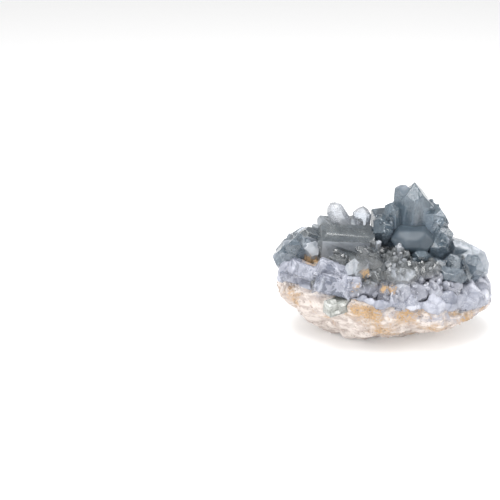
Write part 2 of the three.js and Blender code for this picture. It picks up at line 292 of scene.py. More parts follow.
# Small crystals on a skin, in patches, parallel to the crystal that they grow on
def smallTree():
    growth = Growth("smallCrystals", {
        "Crystal": "Object", "PerArea": "Float", "Smallest": "Float", "Largest": "Float",
        "Patches": "Float", "Cover": "Float", "Tilt": "Float", "Paler": "Float",
        "Material": "Material", "Seed": "Int"})
    given = growth.given
    patch = Field(growth, growth.node("ShaderNodeTexNoise", {}, {"Scale": given("Patches")}).outputs[0])
    density = (patch > 1 - given("Cover")) * growth.carried("growth") * given("PerArea")
    points = growth.node("GeometryNodeDistributePointsOnFaces", {}, {
        "Mesh": given("Geometry"), "Density": density, "Seed": given("Seed")}).outputs[0]
    parallel = growth.node("FunctionNodeAxesToRotation", {"primary_axis": "Z", "secondary_axis": "X"}, {
        0: growth.carried("along", "FLOAT_VECTOR"), 1: growth.carried("facing", "FLOAT_VECTOR")}).outputs[0]
    lean = [growth.random(given("Tilt") * -1, given("Tilt"), seed) for seed in (1, 2, 3)]
    lean = growth.node("ShaderNodeCombineXYZ", {}, dict(enumerate(lean))).outputs[0]
    lean = growth.node("FunctionNodeEulerToRotation", {}, {0: lean}).outputs[0]
    turn = growth.node("FunctionNodeRotateRotation", {"rotation_space": "LOCAL"}, {
        0: parallel, 1: lean}).outputs[0]
    crystal = growth.node("GeometryNodeObjectInfo", {}, {0: given("Crystal")}).outputs["Geometry"]
    placed = growth.node("GeometryNodeInstanceOnPoints", {}, {
        "Points": points, "Instance": crystal, "Rotation": turn,
        "Scale": growth.random(given("Smallest"), given("Largest"), 4)}).outputs[0]
    toned = growth.node("GeometryNodeStoreNamedAttribute", {"data_type": "FLOAT", "domain": "INSTANCE"}, {
        "Geometry": placed, "Name": "tone",
        "Value": growth.carried("tone") + given("Paler") + growth.random(-0.2, 0.2, 5)})
    both = growth.node("GeometryNodeJoinGeometry", {}, {0: given("Geometry")})
    growth.tree.links.new(toned.outputs[0], both.inputs[0])
    growth.close(both.outputs[0])
    return growth


def newPiece(name, mesh):
    piece = bpy.data.objects.new(name, mesh)
    bpy.context.scene.collection.objects.link(piece)
    return piece


def evaluated(piece):
    depsgraph = bpy.context.evaluated_depsgraph_get()
    return bpy.data.meshes.new_from_object(piece.evaluated_get(depsgraph))


def freeze(piece):  # the modifiers' result becomes the piece's own mesh
    mesh = evaluated(piece)
    piece.modifiers.clear()
    piece.data = mesh
    return piece


def evened(piece, skin):  # small equal faces in place of large ones, with soft edges where asked
    remesh = piece.modifiers.new("even", "REMESH")
    remesh.mode = "VOXEL"
    remesh.voxel_size = skin["voxel"] * mm
    if skin["smooth"]:
        soften = piece.modifiers.new("soften", "SMOOTH")
        soften.factor = 0.5
        soften.iterations = skin["smooth"]
    return freeze(piece)


# What a crystal's faces carry for its material and its small crystals: the crystal's tone, their own shade
# (a random share, plus painted light that makes downward faces paler where asked), an edge mark
# (where the material paints an edge highlight), whether small crystals grow on them, and the crystal's
# directions
class Marks:
    def __init__(self, form):
        layers = form.faces.layers
        self.numbers = {name: layers.float.new(name) for name in ("tone", "shade", "edge", "growth")}
        self.ways = {name: layers.float_vector.new(name) for name in ("along", "facing")}

    def put(self, face, crystal, shade, growth):
        along, across, facing = crystalAxes(crystal)
        face[self.numbers["tone"]] = crystal[-1]
        face[self.numbers["shade"]] = shade
        face[self.numbers["growth"]] = growth
        face[self.ways["along"]] = along
        face[self.ways["facing"]] = facing


def meshFrom(form, name):
    bmesh.ops.recalc_face_normals(form, faces=form.faces[:])
    mesh = bpy.data.meshes.new(name)
    form.to_mesh(mesh)
    form.free()
    return mesh


def shellMesh(crystal, seed, edge, growth=1, contrast=0.3, under=0, spot=place):
    draw = draws(seed + shadeSeed)
    form = bmesh.new()
    marks = Marks(form)
    for corner in cornersOf(crystal, seed):
        form.verts.new(Vector(corner) * mm + spot)
    bmesh.ops.convex_hull(form, input=form.verts[:])
    bmesh.ops.dissolve_limit(form, angle_limit=0.01, verts=form.verts[:], edges=form.edges[:])
    for face in form.faces:
        face.normal_update()
        # under makes downward-facing faces paler: painted light from below
        shade = contrast * (next(draw) - 0.5) + under * max(0, -face.normal.z)
        marks.put(face, crystal, shade, growth)
    if edge:
        rims = bmesh.ops.bevel(form, geom=form.edges[:], offset=edge * mm, segments=2, profile=0.5,
                               affect="EDGES", clamp_overlap=True)["faces"]
        # the rims' edge mark, random per rim, sets how strongly the material paints a highlight on them
        for face in rims:
            face[marks.numbers["edge"]] = next(draw)
            face[marks.numbers["growth"]] = 0
    return meshFrom(form, "shell")


# A crystal rounded all over, as dissolved ones are: the more smoothing, the rounder
rounding = {"voxel": 0.35, "smooth": 70}


def roundedMesh(crystal, seed):
    form = bmesh.new()
    for corner in cornersOf(crystal, seed):
        form.verts.new(Vector(corner) * mm + place)
    bmesh.ops.convex_hull(form, input=form.verts[:])
    piece = evened(newPiece("rounded", meshFrom(form, "rounded")), rounding)
    form = bmesh.new()
    form.from_mesh(piece.data)
    bpy.data.objects.remove(piece)
    marks = Marks(form)
    for face in form.faces:
        face.smooth = True
        marks.put(face, crystal, 0, 0)
    return meshFrom(form, "rounded")


joining = joinTree()
growing = smallTree()
unit = ((0, 0, 0.7), (0, 0, -0.7), 1, 0.85, 0, "cobble", 0)  # a millimetre wide, so its scale is its size
unitSeed = 77


def smallCrystal():
    mesh = shellMesh(unit, unitSeed, 0, spot=Vector((0, 0, 0)))
    mesh.attributes.remove(mesh.attributes["tone"])
    return newPiece("smallCrystal", mesh)


sprout = smallCrystal()


def joinedCrystals(name, crystals, firstSeed, growth, material):
    shells = bpy.data.collections.new(name + "Shells")
    bpy.context.scene.collection.children.link(shells)
    for index, crystal in enumerate(crystals):
        if index in growth.get("left", ()):
            continue
        seed = firstSeed + index
        clean = index in growth.get("clean", ())
        if index in growth.get("rounded", ()):
            family = [roundedMesh(crystal, seed)]
        else:
            family = [shellMesh(crystal, seed, growth["edge"], 0 if clean else 1,
                                growth["contrast"], growth["under"])]
            companions = [] if clean else companionsOf(crystal, seed, growth)
            first = companionShades["from"] + companionShades["perCrystal"] * index
            for number, companion in enumerate(companions):
                family.append(shellMesh(companion, first + number, growth["edge"] / 2))
        for mesh in family:
            shells.objects.link(bpy.data.objects.new("shell", mesh))
    piece = newPiece(name, bpy.data.meshes.new(name))
    joining.put(piece, {"Shells": shells, "Material": material})
    freeze(piece)
    for shell in shells.objects[:]:
        bpy.data.objects.remove(shell)
    bpy.data.collections.remove(shells)
    if "small" in growth:
        growing.put(piece, dict(growth["small"], Crystal=sprout, Material=material, Seed=firstSeed))
        freeze(piece)
    print("joined", name, len(crystals), "crystals,", len(piece.data.polygons), "faces")
    return piece


# A material's nodes
class Finish(Nodes):
    def __init__(self, name):
        self.material = bpy.data.materials.new(name)
        self.material.use_nodes = True
        self.tree = self.material.node_tree
        self.tree.nodes.clear()
        self.where = self.node("ShaderNodeTexCoord").outputs["Object"]

    def stretched(self, turn, stretch):  # the place, turned and stretched, for streaky patterns
        return self.node("ShaderNodeMapping", {}, {
            "Vector": self.where, "Rotation": turn, "Scale": stretch}).outputs[0]

    def carried(self, name):  # a value that the piece's faces carry
        return Field(self, self.node("ShaderNodeAttribute", {"attribute_name": name}).outputs["Fac"])

    def along(self, name):  # the place measured along a direction that the faces carry
        way = self.node("ShaderNodeAttribute", {"attribute_name": name}).outputs["Vector"]
        made = self.node("ShaderNodeVectorMath", {"operation": "DOT_PRODUCT"}, {0: self.where, 1: way})
        return Field(self, made.outputs["Value"])

    def lines(self, measure, scale, detail=3):  # noise in one dimension
        made = self.node("ShaderNodeTexNoise", {"noise_dimensions": "1D"}, {
            "W": measure, "Scale": scale, "Detail": detail, "Roughness": 0.6})
        return Field(self, made.outputs["Fac"])

    def noise(self, scale, detail=2, roughness=0.5, distortion=0, where=None):
        made = self.node("ShaderNodeTexNoise", {}, {
            "Vector": where or self.where, "Scale": scale, "Detail": detail,
            "Roughness": roughness, "Distortion": distortion})
        return Field(self, made.outputs["Fac"])

    def cells(self, scale):
        made = self.node("ShaderNodeTexVoronoi", {}, {"Vector": self.where, "Scale": scale})
        return Field(self, made.outputs["Distance"])

    def height(self):  # metres above the resting plane
        return Field(self, self.node("ShaderNodeSeparateXYZ", {}, {0: self.where}).outputs[2])

    def side(self):  # metres to the right of the middle
        return Field(self, self.node("ShaderNodeSeparateXYZ", {}, {0: self.where}).outputs[0])

    def rise(self, field, low, high, bottom=0, top=1):
        made = self.node("ShaderNodeMapRange", {"interpolation_type": "SMOOTHSTEP"}, {
            "Value": field, "From Min": low, "From Max": high, "To Min": bottom, "To Max": top})
        return Field(self, made.outputs[0])

    def mix(self, mask, low, high):
        made = self.node("ShaderNodeMix", {"data_type": "RGBA"}, {0: mask, 6: low, 7: high})
        return Field(self, made.outputs[2])

    def nearest(self, points):  # distance to the nearest of some points
        field = None
        for point in points:
            spot = Vector(point) * mm + place
            made = self.node("ShaderNodeVectorMath", {"operation": "DISTANCE"}, {0: self.where, 1: spot})
            away = Field(self, made.outputs["Value"])
            field = away if field is None else self.math("MINIMUM", field, away)
        return field

    def bump(self, relief, strength, distance):
        made = self.node("ShaderNodeBump", {}, {
            "Height": relief, "Strength": strength, "Distance": distance})
        return made.outputs[0]

    def shader(self, sockets):
        return self.node("ShaderNodeBsdfPrincipled", {}, sockets).outputs[0]

    def blend(self, mask, first, second):
        return self.node("ShaderNodeMixShader", {}, {0: mask, 1: first, 2: second}).outputs[0]

    def close(self, surface, volume=None):
        sockets = {"Surface": surface}
        if volume:
            sockets["Volume"] = volume
        self.node("ShaderNodeOutputMaterial", {}, sockets)
        return self.material


# Celestite: a clear and a milky shader, mixed by the crystal's tone. Noise scales are per metre,
# and reaches and heights are in metres, as (where it starts, where it is full).
refraction = 1.62
cloudScale, veilScale, grainScale = 75, 230, 1300
lineScale = {"facing": 900, "along": 160}
wander = 0.004  # how far clouds carry the growth lines and the borders of tones
edgeHighlightFrom, wornFrom = (0.2, 0.9), (0.04, 0.1)  # shares of the faces' edge mark
glintReach = (0.004, 0.001)
lavenderFrom, lavenderFall = (0.035, 0.03), 0.12
rustReach = (0.0028, 0.0008)
rustColour = (0.47, 0.31, 0.16, 1)


def celestite(name, look):
    finish = Finish(name)
    cloud = finish.noise(cloudScale, 3, 0.55, 0.8)
    veil = finish.noise(veilScale, 2, 0.5, 1.5, finish.stretched((0.5, 0.9, 0.3), (1, 0.3, 1)))
    grain = finish.noise(grainScale, 3, 0.6)
    wave = (cloud - 0.5) * wander
    steps = finish.lines(finish.along("facing") + wave, lineScale["facing"])
    growthLines = steps * finish.lines(finish.along("along") + wave, lineScale["along"])
    tone = finish.carried("tone") + finish.carried("shade") + (growthLines - 0.25) * look["lines"]
    tone = tone + (cloud - 0.5) * look["clouds"] + (veil - 0.5) * look["veils"]
    # paler above a given height: painted light, the white surroundings showing through a thin tip
    if "paleTopPaintedLight" in look:
        low, high, gain = look["paleTopPaintedLight"]
        tone = tone + finish.rise(finish.height() + wave, low * mm, high * mm) * gain
    colour = finish.mix(finish.rise(tone, 0, 0.5), look["dark"], look["middle"])
    colour = finish.mix(finish.rise(tone, 0.5, 1), colour, look["pale"])
    # Painted highlight: where the faces' edge mark is high (the bevelled rims), the colour is painted
    # towards a pale edge colour, standing in for light that the edges catch; the chips noise breaks these
    # painted lines into pieces, and the same mark makes the rims milkier
    edge = finish.rise(finish.carried("edge"), *edgeHighlightFrom)
    # Painted glints: pale sparkles painted around given points, added to the painted edge highlight
    if "glints" in look:
        away = finish.nearest(look["glints"]) + (cloud - 0.5) * 0.008
        sparks = finish.rise(away, *glintReach) * finish.rise(grain, 0.5, 0.58) * 2
        edge = finish.math("MAXIMUM", edge, sparks)
    chips = finish.rise(veil * 0.5 + grain * 0.5 + look["sharp"], 0.47, 0.56)
    edge = edge * chips * look["edges"]
    colour = finish.mix(edge, colour, look["edgeHighlightColour"])
    dust = finish.rise(grain * 0.4 + cloud * 0.6, *look["dustFrom"]) * look["dust"]
    colour = finish.mix(dust, colour, look["dustColour"])
    if "lavender" in look:
        there = finish.rise(finish.height() + wave - finish.side() * lavenderFall, *lavenderFrom)
        colour = finish.mix(there * 0.8, colour, look["lavender"])
    if look.get("rust"):
        away = finish.nearest(look["rust"]) + (grain - 0.5) * 0.006 + (veil - 0.5) * 0.005
        rusty = finish.rise(away, *rustReach)
        colour = finish.mix(rusty, colour, rustColour)
        dust = finish.math("MAXIMUM", dust, rusty)
    milk = finish.rise(tone, 0.1, 0.9, *look["milk"]) + edge * 0.3
    milk = finish.math("MAXIMUM", milk, dust)
    relief = growthLines * 1.5 + grain * look["grain"] + cloud * 1.5
    normal = finish.bump(relief, look["relief"], 0.0008)
    sheen = finish.rise(grain * 0.5 + cloud * 0.5, 0.35, 0.65, *look["rough"])
    sheen = sheen + finish.rise(finish.carried("edge"), *wornFrom) * look["worn"]
    clear = finish.shader({
        "Base Color": look["clear"], "Roughness": sheen, "IOR": refraction,
        "Transmission Weight": 1.0, "Normal": normal})
    milky = finish.shader({
        "Base Color": colour, "Roughness": sheen + dust * 0.5, "IOR": refraction, "Normal": normal})
    absorb = finish.node("ShaderNodeVolumeAbsorption", {}, {
        "Color": look["absorbs"], "Density": look["density"]}).outputs[0]
    return finish.close(finish.blend(milk, clear, milky), absorb)


rustSpots = [(-34, -11.5, 37.6), (-31, -11.5, 36.8), (-34.4, -15, 38.9), (-32, -15, 38.4),
             (-29.6, -15, 37.6), (-34, -18.5, 40.2), (-31.5, -18.5, 39.3), (-29.5, -20, 39),
             (-10.6, -27, 37.5), (-15.3, -29, 32.3), (-15.3, -33.5, 33.9), (-4, -31, 32.6), (0, -31, 31.7)]

blueLook = {
    "dark": (0.045, 0.065, 0.085, 1), "middle": (0.14, 0.178, 0.215, 1), "pale": (0.46, 0.49, 0.54, 1),
    "clear": (0.88, 0.92, 0.96, 1), "absorbs": (0.48, 0.57, 0.66, 1), "density": 100,
    "milk": (0.4, 0.75), "rough": (0.03, 0.2), "relief": 0.14, "grain": 0.05,
    "clouds": 0.9, "veils": 0.5, "lines": 0.5,
    # the edge strength and colour here are those of the painted edge highlight
    "edges": 0.5, "sharp": 0, "worn": 0, "edgeHighlightColour": (0.6, 0.63, 0.67, 1),
    "dust": 0.15, "dustFrom": (0.56, 0.66), "dustColour": (0.42, 0.4, 0.37, 1),
}
# The peak: paler above 55 mm, as painted light for the white surroundings seen through its thin tip
peakLook = dict(
    blueLook, middle=(0.125, 0.165, 0.2, 1), pale=(0.31, 0.34, 0.385, 1), paleTopPaintedLight=(55, 58, 0.12),
    edges=0.25, milk=(0.55, 0.75), clouds=0.5, veils=0.35,
    # painted glints: pale sparkles painted at these points on the peak's right flank
    glints=[(21, -5, 55.5), (24, -5, 53), (26, -5, 50.5)])
leftLook = dict(blueLook, rust=rustSpots)
roundedLook = dict(
    blueLook, dark=(0.05, 0.075, 0.1, 1), middle=(0.12, 0.16, 0.2, 1), milk=(0.75, 0.9), rough=(0.42, 0.6),
    clouds=0.8, veils=0.4, lines=0.3)
# The long prism: a stronger painted edge highlight, in nearly unbroken lines
prismLook = dict(
    blueLook, middle=(0.165, 0.185, 0.195, 1), edgeHighlightColour=(0.62, 0.64, 0.65, 1), edges=0.55,
    sharp=0.4, worn=0.14, veils=0.35, clouds=0.6, rough=(0.04, 0.14), relief=0.06, rust=rustSpots)
lowLook = dict(
    blueLook, dark=(0.085, 0.1, 0.115, 1), middle=(0.185, 0.195, 0.2, 1), lavender=(0.42, 0.43, 0.5, 1),
    dust=0.3, dustFrom=(0.52, 0.62), grain=0.06, rust=rustSpots)
paleLook = dict(
    blueLook, dark=(0.17, 0.19, 0.25, 1), middle=(0.35, 0.365, 0.43, 1), pale=(0.6, 0.61, 0.68, 1),
    absorbs=(0.7, 0.73, 0.82, 1), density=90, milk=(0.55, 0.95), rough=(0.08, 0.3),
    clouds=1, veils=0.8, lines=1.6, grain=0.1, rust=rustSpots)
crustLook = dict(paleLook, clouds=0.6, veils=0.5, lines=0, milk=(0.7, 0.95), relief=0.35, grain=0.3)
clearLook = dict(
    blueLook, dark=(0.42, 0.45, 0.5, 1), middle=(0.55, 0.57, 0.61, 1), pale=(0.7, 0.71, 0.74, 1),
    clear=(0.88, 0.91, 0.95, 1), absorbs=(0.7, 0.76, 0.84, 1), density=80, milk=(0.15, 0.6),
    rough=(0.12, 0.3), relief=0.35, clouds=1.4, dust=0)
greenishLook = dict(
    paleLook, dark=(0.3, 0.31, 0.29, 1), middle=(0.42, 0.43, 0.4, 1), pale=(0.6, 0.61, 0.59, 1),
    absorbs=(0.8, 0.85, 0.75, 1), density=60, rust=())


rockLook = {
    "dark": (0.51, 0.435, 0.4, 1), "pale": (0.77, 0.7, 0.655, 1),
    "rim": (0.44, 0.45, 0.52, 1), "rimFrom": (0.017, 0.023), "rimFall": 0.2,  # lavender under the crust
    "ochre": (0.58, 0.36, 0.16, 1), "brown": (0.3, 0.19, 0.1, 1), "speck": (0.16, 0.12, 0.09, 1),
    "ochreReach": (0.007, 0.001), "rough": (0.6, 0.9), "relief": 0.8, "reliefDepth": 0.0012,
    "ochreSpots": [(-14, -31, 21.6), (-10.5, -32, 21), (-7, -32, 18.8), (0, -34, 25), (5.7, -34, 26),
                   (11, -34, 26.5), (14.5, -33, 23), (6.4, -31, 18.3), (19, -25, 12), (35, -20, 13.6),
                   (44, -14, 18.7), (-2, -28, 10)],
}


def rindFinish(look):
    finish = Finish("rind")
    patches = finish.noise(110, 3, 0.6, 0.6)
    blotches = finish.noise(300, 4, 0.6, 0.5, finish.stretched((0, 0.12, 0), (0.6, 0.6, 1.3)))
    grain = finish.noise(1500, 3, 0.7)
    pores = finish.cells(600)
    tone = finish.mix(finish.rise(blotches, 0.36, 0.6), look["dark"], look["pale"])
    rim = finish.height() + finish.side() * look["rimFall"] + (patches - 0.5) * 0.016
    rim = finish.rise(rim, *look["rimFrom"])
    tone = finish.mix(rim * finish.rise(blotches, 0.6, 0.45) * 0.8, tone, look["rim"])
    away = finish.nearest(look["ochreSpots"]) + (patches - 0.5) * 0.014 + (blotches - 0.5) * 0.012
    stained = finish.rise(patches, 0.54, 0.66) * 0.8
    ochre = finish.math("MAXIMUM", finish.rise(away, *look["ochreReach"]), stained)
    ochre = ochre * finish.rise(grain * 0.5 + blotches * 0.5, 0.4, 0.5)
    stain = finish.mix(finish.rise(grain, 0.42, 0.55), look["brown"], look["ochre"])
    tone = finish.mix(ochre * 0.9, tone, stain)
    specks = finish.rise(pores + (grain - 0.5) * 0.4, 0.2, 0.08) * 0.7
    tone = finish.mix(specks, tone, look["speck"])
    relief = grain * 0.6 + blotches * 1.2 + pores * 0.6
    surface = finish.shader({
        "Base Color": tone, "Roughness": finish.rise(grain, 0.3, 0.7, *look["rough"]),
        "Normal": finish.bump(relief, look["relief"], look["reliefDepth"])})
    return finish.close(surface)


# Groups of crystals
small = {  # crystals per square metre, sizes in millimetres
    "PerArea": 60000.0, "Smallest": 1.0, "Largest": 2.6, "Patches": 90.0, "Cover": 0.42, "Tilt": 0.12,
    "Paler": 0.05,
}
bigGrowth = {
    "companions": 2, "size": (0.25, 0.5), "length": (0.2, 0.4), "height": (0.55, 0.9), "out": (0.7, 0.95),
    "misfit": 0.12, "shades": 0.3, "edge": 0.3, "contrast": 0.3, "under": 0, "small": small,
}

peakCrystals = [
    ((12.8, 5, 68.6), (12.8, 2, 32), 16, 19.5, 84, "point", 0.3),
    ((7.6, 4, 67.3), (6, 3, 34), 5.4, 7, 8, "roof", 0.5),
    ((8, -1.5, 61), (8.5, -2, 38), 6, 6, -14, "spire", 0.4),
    ((23.5, 2, 57.6), (16, 2, 36), 9, 10, 20, "wedge", 0.38),
    ((25.2, 0, 54.2), (17, 0, 35), 7, 8, -10, "wedge", 0.38),
    ((26, -3, 50), (18, -3, 33), 7.5, 9, 15, "block", 0.34),
    ((25.5, -7, 45.5), (19, -4, 33), 8, 8, 0, "wedge", 0.3),
    ((10.2, -17, 47), (12.5, 2, 45), 14.2, 11.2, 2, "cobble", 0.1),
    ((-1.5, -5, 53.5), (-0.5, 7, 38), 9, 9, 35, "wedge", 0.3),
    ((-1.5, 5, 54.8), (-1, 8, 36), 8.2, 9, 10, "block", 0.3),
    ((2.5, 1, 60), (4.5, 1, 36), 7, 7.5, 30, "spire", 0.4),
    ((21, -11, 47), (23, -5, 32), 7, 6.5, -20, "wedge", 0.4),
    ((25, -8.5, 49), (23, -5, 34), 5.5, 5.5, 30, "spire", 0.5),
    ((12, -18.5, 42.5), (20, -9, 34), 6, 6, 0, "wedge", 0.3),
    ((20, 12, 58), (17, 7, 34), 13, 12, 25, "wedge", 0.4),
    ((7, 14, 57), (9, 8, 34), 11, 12, -30, "wedge", 0.4),
]
longPrismCrystals = [
    ((-30.5, -4, 42.4), (-6.5, -4, 41.4), 13, 15.5, -20, "block", 0.2),
    ((-28, -1.5, 43.6), (-5.5, -3, 41.6), 12, 13.5, -6, "block", 0.4),
    ((-30, 7, 45.8), (-12, 7, 44.5), 8, 11, -12, "block", 0.75),
    ((-38, -4, 47.5), (-24, -2, 42), 6, 7.5, 25, "wedge", 0.25),
    ((-32.5, 0, 50), (-26, 2, 43), 4, 4.5, 0, "spire", 0.8),
    ((-24, 4, 49), (-20, 8, 36), 7.5, 8, 40, "block", 0.6),
    ((-14, 9, 50.5), (-13, 8, 34), 8, 9, 15, "block", 0.55),
    ((-9, -8, 45.5), (-8, -6, 34), 6, 6, 0, "block", 0.3),
    ((-20, -14, 38), (-14, -6, 30), 12, 10, 10, "cobble", 0.65),
]
leftEndCrystals = [
    ((-39.5, -8, 47.5), (-36, -7, 28), 11.5, 11, -24, "wedge", 0.45),
    ((-33, -10, 45.5), (-35, -6, 30), 8, 8.5, 35, "roof", 0.9),
    ((-50, -6, 37.5), (-36, -7, 35), 9.5, 9, 8, "wedge", 0.65),
    ((-45.5, -4, 42.5), (-37, -3, 32), 8, 8, -15, "wedge", 0.65),
    ((-41, 4, 44), (-35, 3, 30), 9, 9, 20, "wedge", 0.4),
    ((-46.5, 5, 38), (-36, 5, 30), 9, 9, 0, "block", 0.4),
]
rightCrystals = [
    ((34, 4, 41.6), (29, 2, 27), 12, 11, 20, "block", 0.65),
    ((46.5, 2, 33.5), (34, -1, 29), 13, 12, -8, "cobble", 0.85),
    ((41.5, -8, 37), (34, -4, 24), 9, 9, 25, "wedge", 0.74),
    ((31, -16, 37.5), (28, -6, 30), 10, 10, 10, "wedge", 0.4),
    ((26, -22.5, 34), (28, -10, 31), 12.5, 8, -6, "cobble", 0.35),
    ((34.5, -17, 33.5), (31, -8, 28), 7, 7, 30, "wedge", 0.4),
    ((21.5, -17, 38.5), (22, -10, 30), 7.5, 7, -25, "wedge", 0.4),
    ((37, 9, 35), (30, 8, 26), 9, 9, 0, "wedge", 0.5),
]
middleCrystals = [
    ((-13, -19, 45), (-2, -22, 36.5), 6, 6, 0, "block", 0.3),
    ((-15, -26, 42.5), (-11, -21, 30), 10, 8, 20, "wedge", 0.75),
    ((4, -29, 33), (4, -14, 36), 16.5, 11.5, -8, "cobble", 0.6),
    ((-5, -14, 47.5), (-4.5, -13, 34), 3, 3, 20, "spire", 0.8),
    ((4.5, -16, 47), (6.5, -13, 34), 4, 4, -15, "spire", 0.7),
    ((8, -18, 44), (7, -14, 33), 3.5, 3.5, 25, "spire", 0.4),
    ((11, -24, 40.5), (12, -18, 31), 4.5, 4.5, 10, "spire", 0.7),
    ((16, -24, 35), (16, -12, 35), 11, 9, 6, "cobble", 0.5),
    ((-6, -27, 36), (-5, -18, 31), 9, 8, 30, "wedge", 0.6),
    ((-9, -30, 31), (-8, -20, 29), 8, 7, -20, "wedge", 0.7),
    ((-24, -19, 41), (-18, -14, 32), 8, 8, 20, "wedge", 0.4),
]
middleRows = [
    {"from": 222, "to": 318, "lift": 31, "count": 8, "height": (3.5, 6), "width": (6.5, 8.5),
     "lean": 0.7, "seed": 74, "tone": (0.45, 0.8)},
]
backRows = [
    {"from": 16, "to": 166, "lift": 17, "count": 7, "height": (2.5, 5), "width": (10, 13),
     "lean": 0.55, "seed": 3, "tone": (0.3, 0.6)},
    {"from": 18, "to": 166, "lift": 36, "count": 7, "height": (7, 12), "width": (9, 13),
     "lean": 0.7, "seed": 5, "tone": (0.3, 0.6)},
    {"from": 40, "to": 160, "lift": 57, "count": 3, "height": (8, 12), "width": (10, 13),
     "lean": 0.7, "seed": 8, "tone": (0.3, 0.55)},
]
paleSlabs = [
    ((-31, -23, 39.5), (-18, -23, 34), 6.5, 7, -14, "block", 0.3),
    ((-43, -17, 37.5), (-28, -21, 33), 7, 8, 10, "block", 0.35),
    ((-47.5, -12, 33.5), (-36, -12, 30), 8, 8, -10, "cobble", 0.4),
    ((-32, -27, 33.5), (-18, -25, 29), 7.5, 8, 12, "block", 0.15),
    ((-18, -31, 34), (-15, -22, 31), 7.5, 7, 0, "wedge", 0.4),
]

blueFinish = celestite("blueCelestite", blueLook)
peakFinish = celestite("peakCelestite", peakLook)
leftFinish = celestite("leftCelestite", leftLook)
prismFinish = celestite("prismCelestite", prismLook)
roundedFinish = celestite("roundedCelestite", roundedLook)
lowFinish = celestite("lowCelestite", lowLook)
paleFinish = celestite("paleCelestite", paleLook)
crustFinish = celestite("crustCelestite", crustLook)
clearFinish = celestite("clearCelestite", clearLook)
greenishFinish = celestite("greenishCelestite", greenishLook)


def dress(piece, node, slot, material):
    piece.data.materials.clear()
    piece.data.materials.append(material)
    for face in piece.data.polygons:
        face.material_index = 0
    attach(piece, "root")
    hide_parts(node)


# "clean" crystals have no small ones, and crystal 7 of the peak is a piece of its own
lone = {"companions": 0, "edge": 0.25, "contrast": 0.3, "under": 0}
# On the peak the small crystals are made much paler: painted glints, standing in for the sparkle of its
# flanks
peakGrowth = dict(
    bigGrowth, clean=(0, 1, 2, 9, 10), left=(2, 7), contrast=0.4,
    small=dict(small, Smallest=0.7, Largest=2.0, Paler=0.35))
# On the long prism the downward-facing faces are painted paler: painted light from below
blockGrowth = dict(
    bigGrowth, companions=1, size=(0.3, 0.6), edge=0.35, contrast=0.5, under=2.1, clean=(0, 1, 2, 8))
leftGrowth = dict(bigGrowth, contrast=0.5, clean=(0, 1, 2, 3))
rightGrowth = dict(bigGrowth, clean=(0, 1, 2, 4, 7))
middleGrowth = dict(
    bigGrowth, clean=(1,),
    small=dict(small, PerArea=90000.0, Smallest=0.8, Largest=2.8, Patches=70.0, Cover=0.62, Tilt=0.4,
               Paler=0.0))
slabGrowth = dict(bigGrowth, small=dict(small, Cover=0.4))
blue = ("blue_crystals", "blue_celestite")
pale = ("pale_crust", "pale_celestite")
groups = [
    ("peakCrystals", peakCrystals, 300, peakGrowth, blue, peakFinish),
    ("roundedCrystal", peakCrystals[7:8], 307, dict(lone, rounded=(0,)), blue, roundedFinish),
    ("longPrismCrystals", longPrismCrystals, 316, blockGrowth, blue, prismFinish),
    ("leftEndCrystals", leftEndCrystals, 325, leftGrowth, blue, leftFinish),
    ("rightCrystals", rightCrystals, 331, rightGrowth, blue, blueFinish),
    ("middleCrystals", middleCrystals + rowsOfCrystals(middleRows), 339, middleGrowth, blue, lowFinish),
    ("backCrystals", rowsOfCrystals(backRows), 358, bigGrowth, blue, blueFinish),
    ("paleSlabs", paleSlabs, 800, slabGrowth, pale, paleFinish),
    ("clearCrystalLeft", [clearLeft], 200, lone, ("clear_crystal_left", "clear_celestite"), clearFinish),
    ("clearCrystalRight", [clearRight], 210, lone, ("clear_crystal_right", "clear_celestite"), clearFinish),
    ("greenishCrystal", [greenish], 220, dict(lone, small=small),
     ("greenish_crystal", "greenish_celestite"), greenishFinish),
]
for name, crystals, seed, growth, (node, slot), material in groups:
    dress(joinedCrystals(name, crystals, seed, growth, material), node, slot, material)


# The mass of the crystals' feet, grown together, with a druse of small crystals on it
feet = {"halfLength": 43, "halfWidth": 29.5, "above": 17, "below": 4, "rim": 22, "slope": -0.13,
        "swells": ((1.4, 0.35), (0.8, 0.9)), "sunk": 0.5, "lean": 0.9, "tone": (0.3, 0.8),
        "seed": 61, "druseSeed": 9}
druse = dict(small, PerArea=150000.0, Smallest=1.2, Largest=3.8, Cover=1.0, Tilt=0.5, Paler=0.02)


def crystalFeet():
    draw = draws(feet["seed"])
    form = bmesh.new()
    marks = Marks(form)
    bmesh.ops.create_icosphere(form, subdivisions=6, radius=1)
    for vert in form.verts:
        way = vert.co.copy()
        vert.co.x *= feet["halfLength"]
        vert.co.y *= feet["halfWidth"]
        vert.co.z *= feet["above"] if way.z > 0 else feet["below"]
        vert.co.z += feet["rim"] + feet["slope"] * vert.co.x
        swell = sum(height * noise.noise(vert.co * scale) for height, scale in feet["swells"])
        vert.co += way * (swell - feet["sunk"])
        vert.co = vert.co * mm + place
    for face in form.faces:
        outward = (face.calc_center_median() - place).normalized()
        lean = Vector((next(draw) - 0.5, next(draw) - 0.5, next(draw) - 0.5)) * feet["lean"]
        turn = 90 * next(draw)
        seedling = (outward + lean, (0, 0, 0), 0, 0, turn, "block", between(draw, feet["tone"]))
        marks.put(face, seedling, 0, 1)
    piece = newPiece("crystalFeet", meshFrom(form, "crystalFeet"))
    growing.put(piece, dict(druse, Crystal=sprout, Material=lowFinish, Seed=feet["druseSeed"]))
    return freeze(piece)


dress(crystalFeet(), "blue_crystals", "blue_celestite", lowFinish)
print("crystals' feet done")

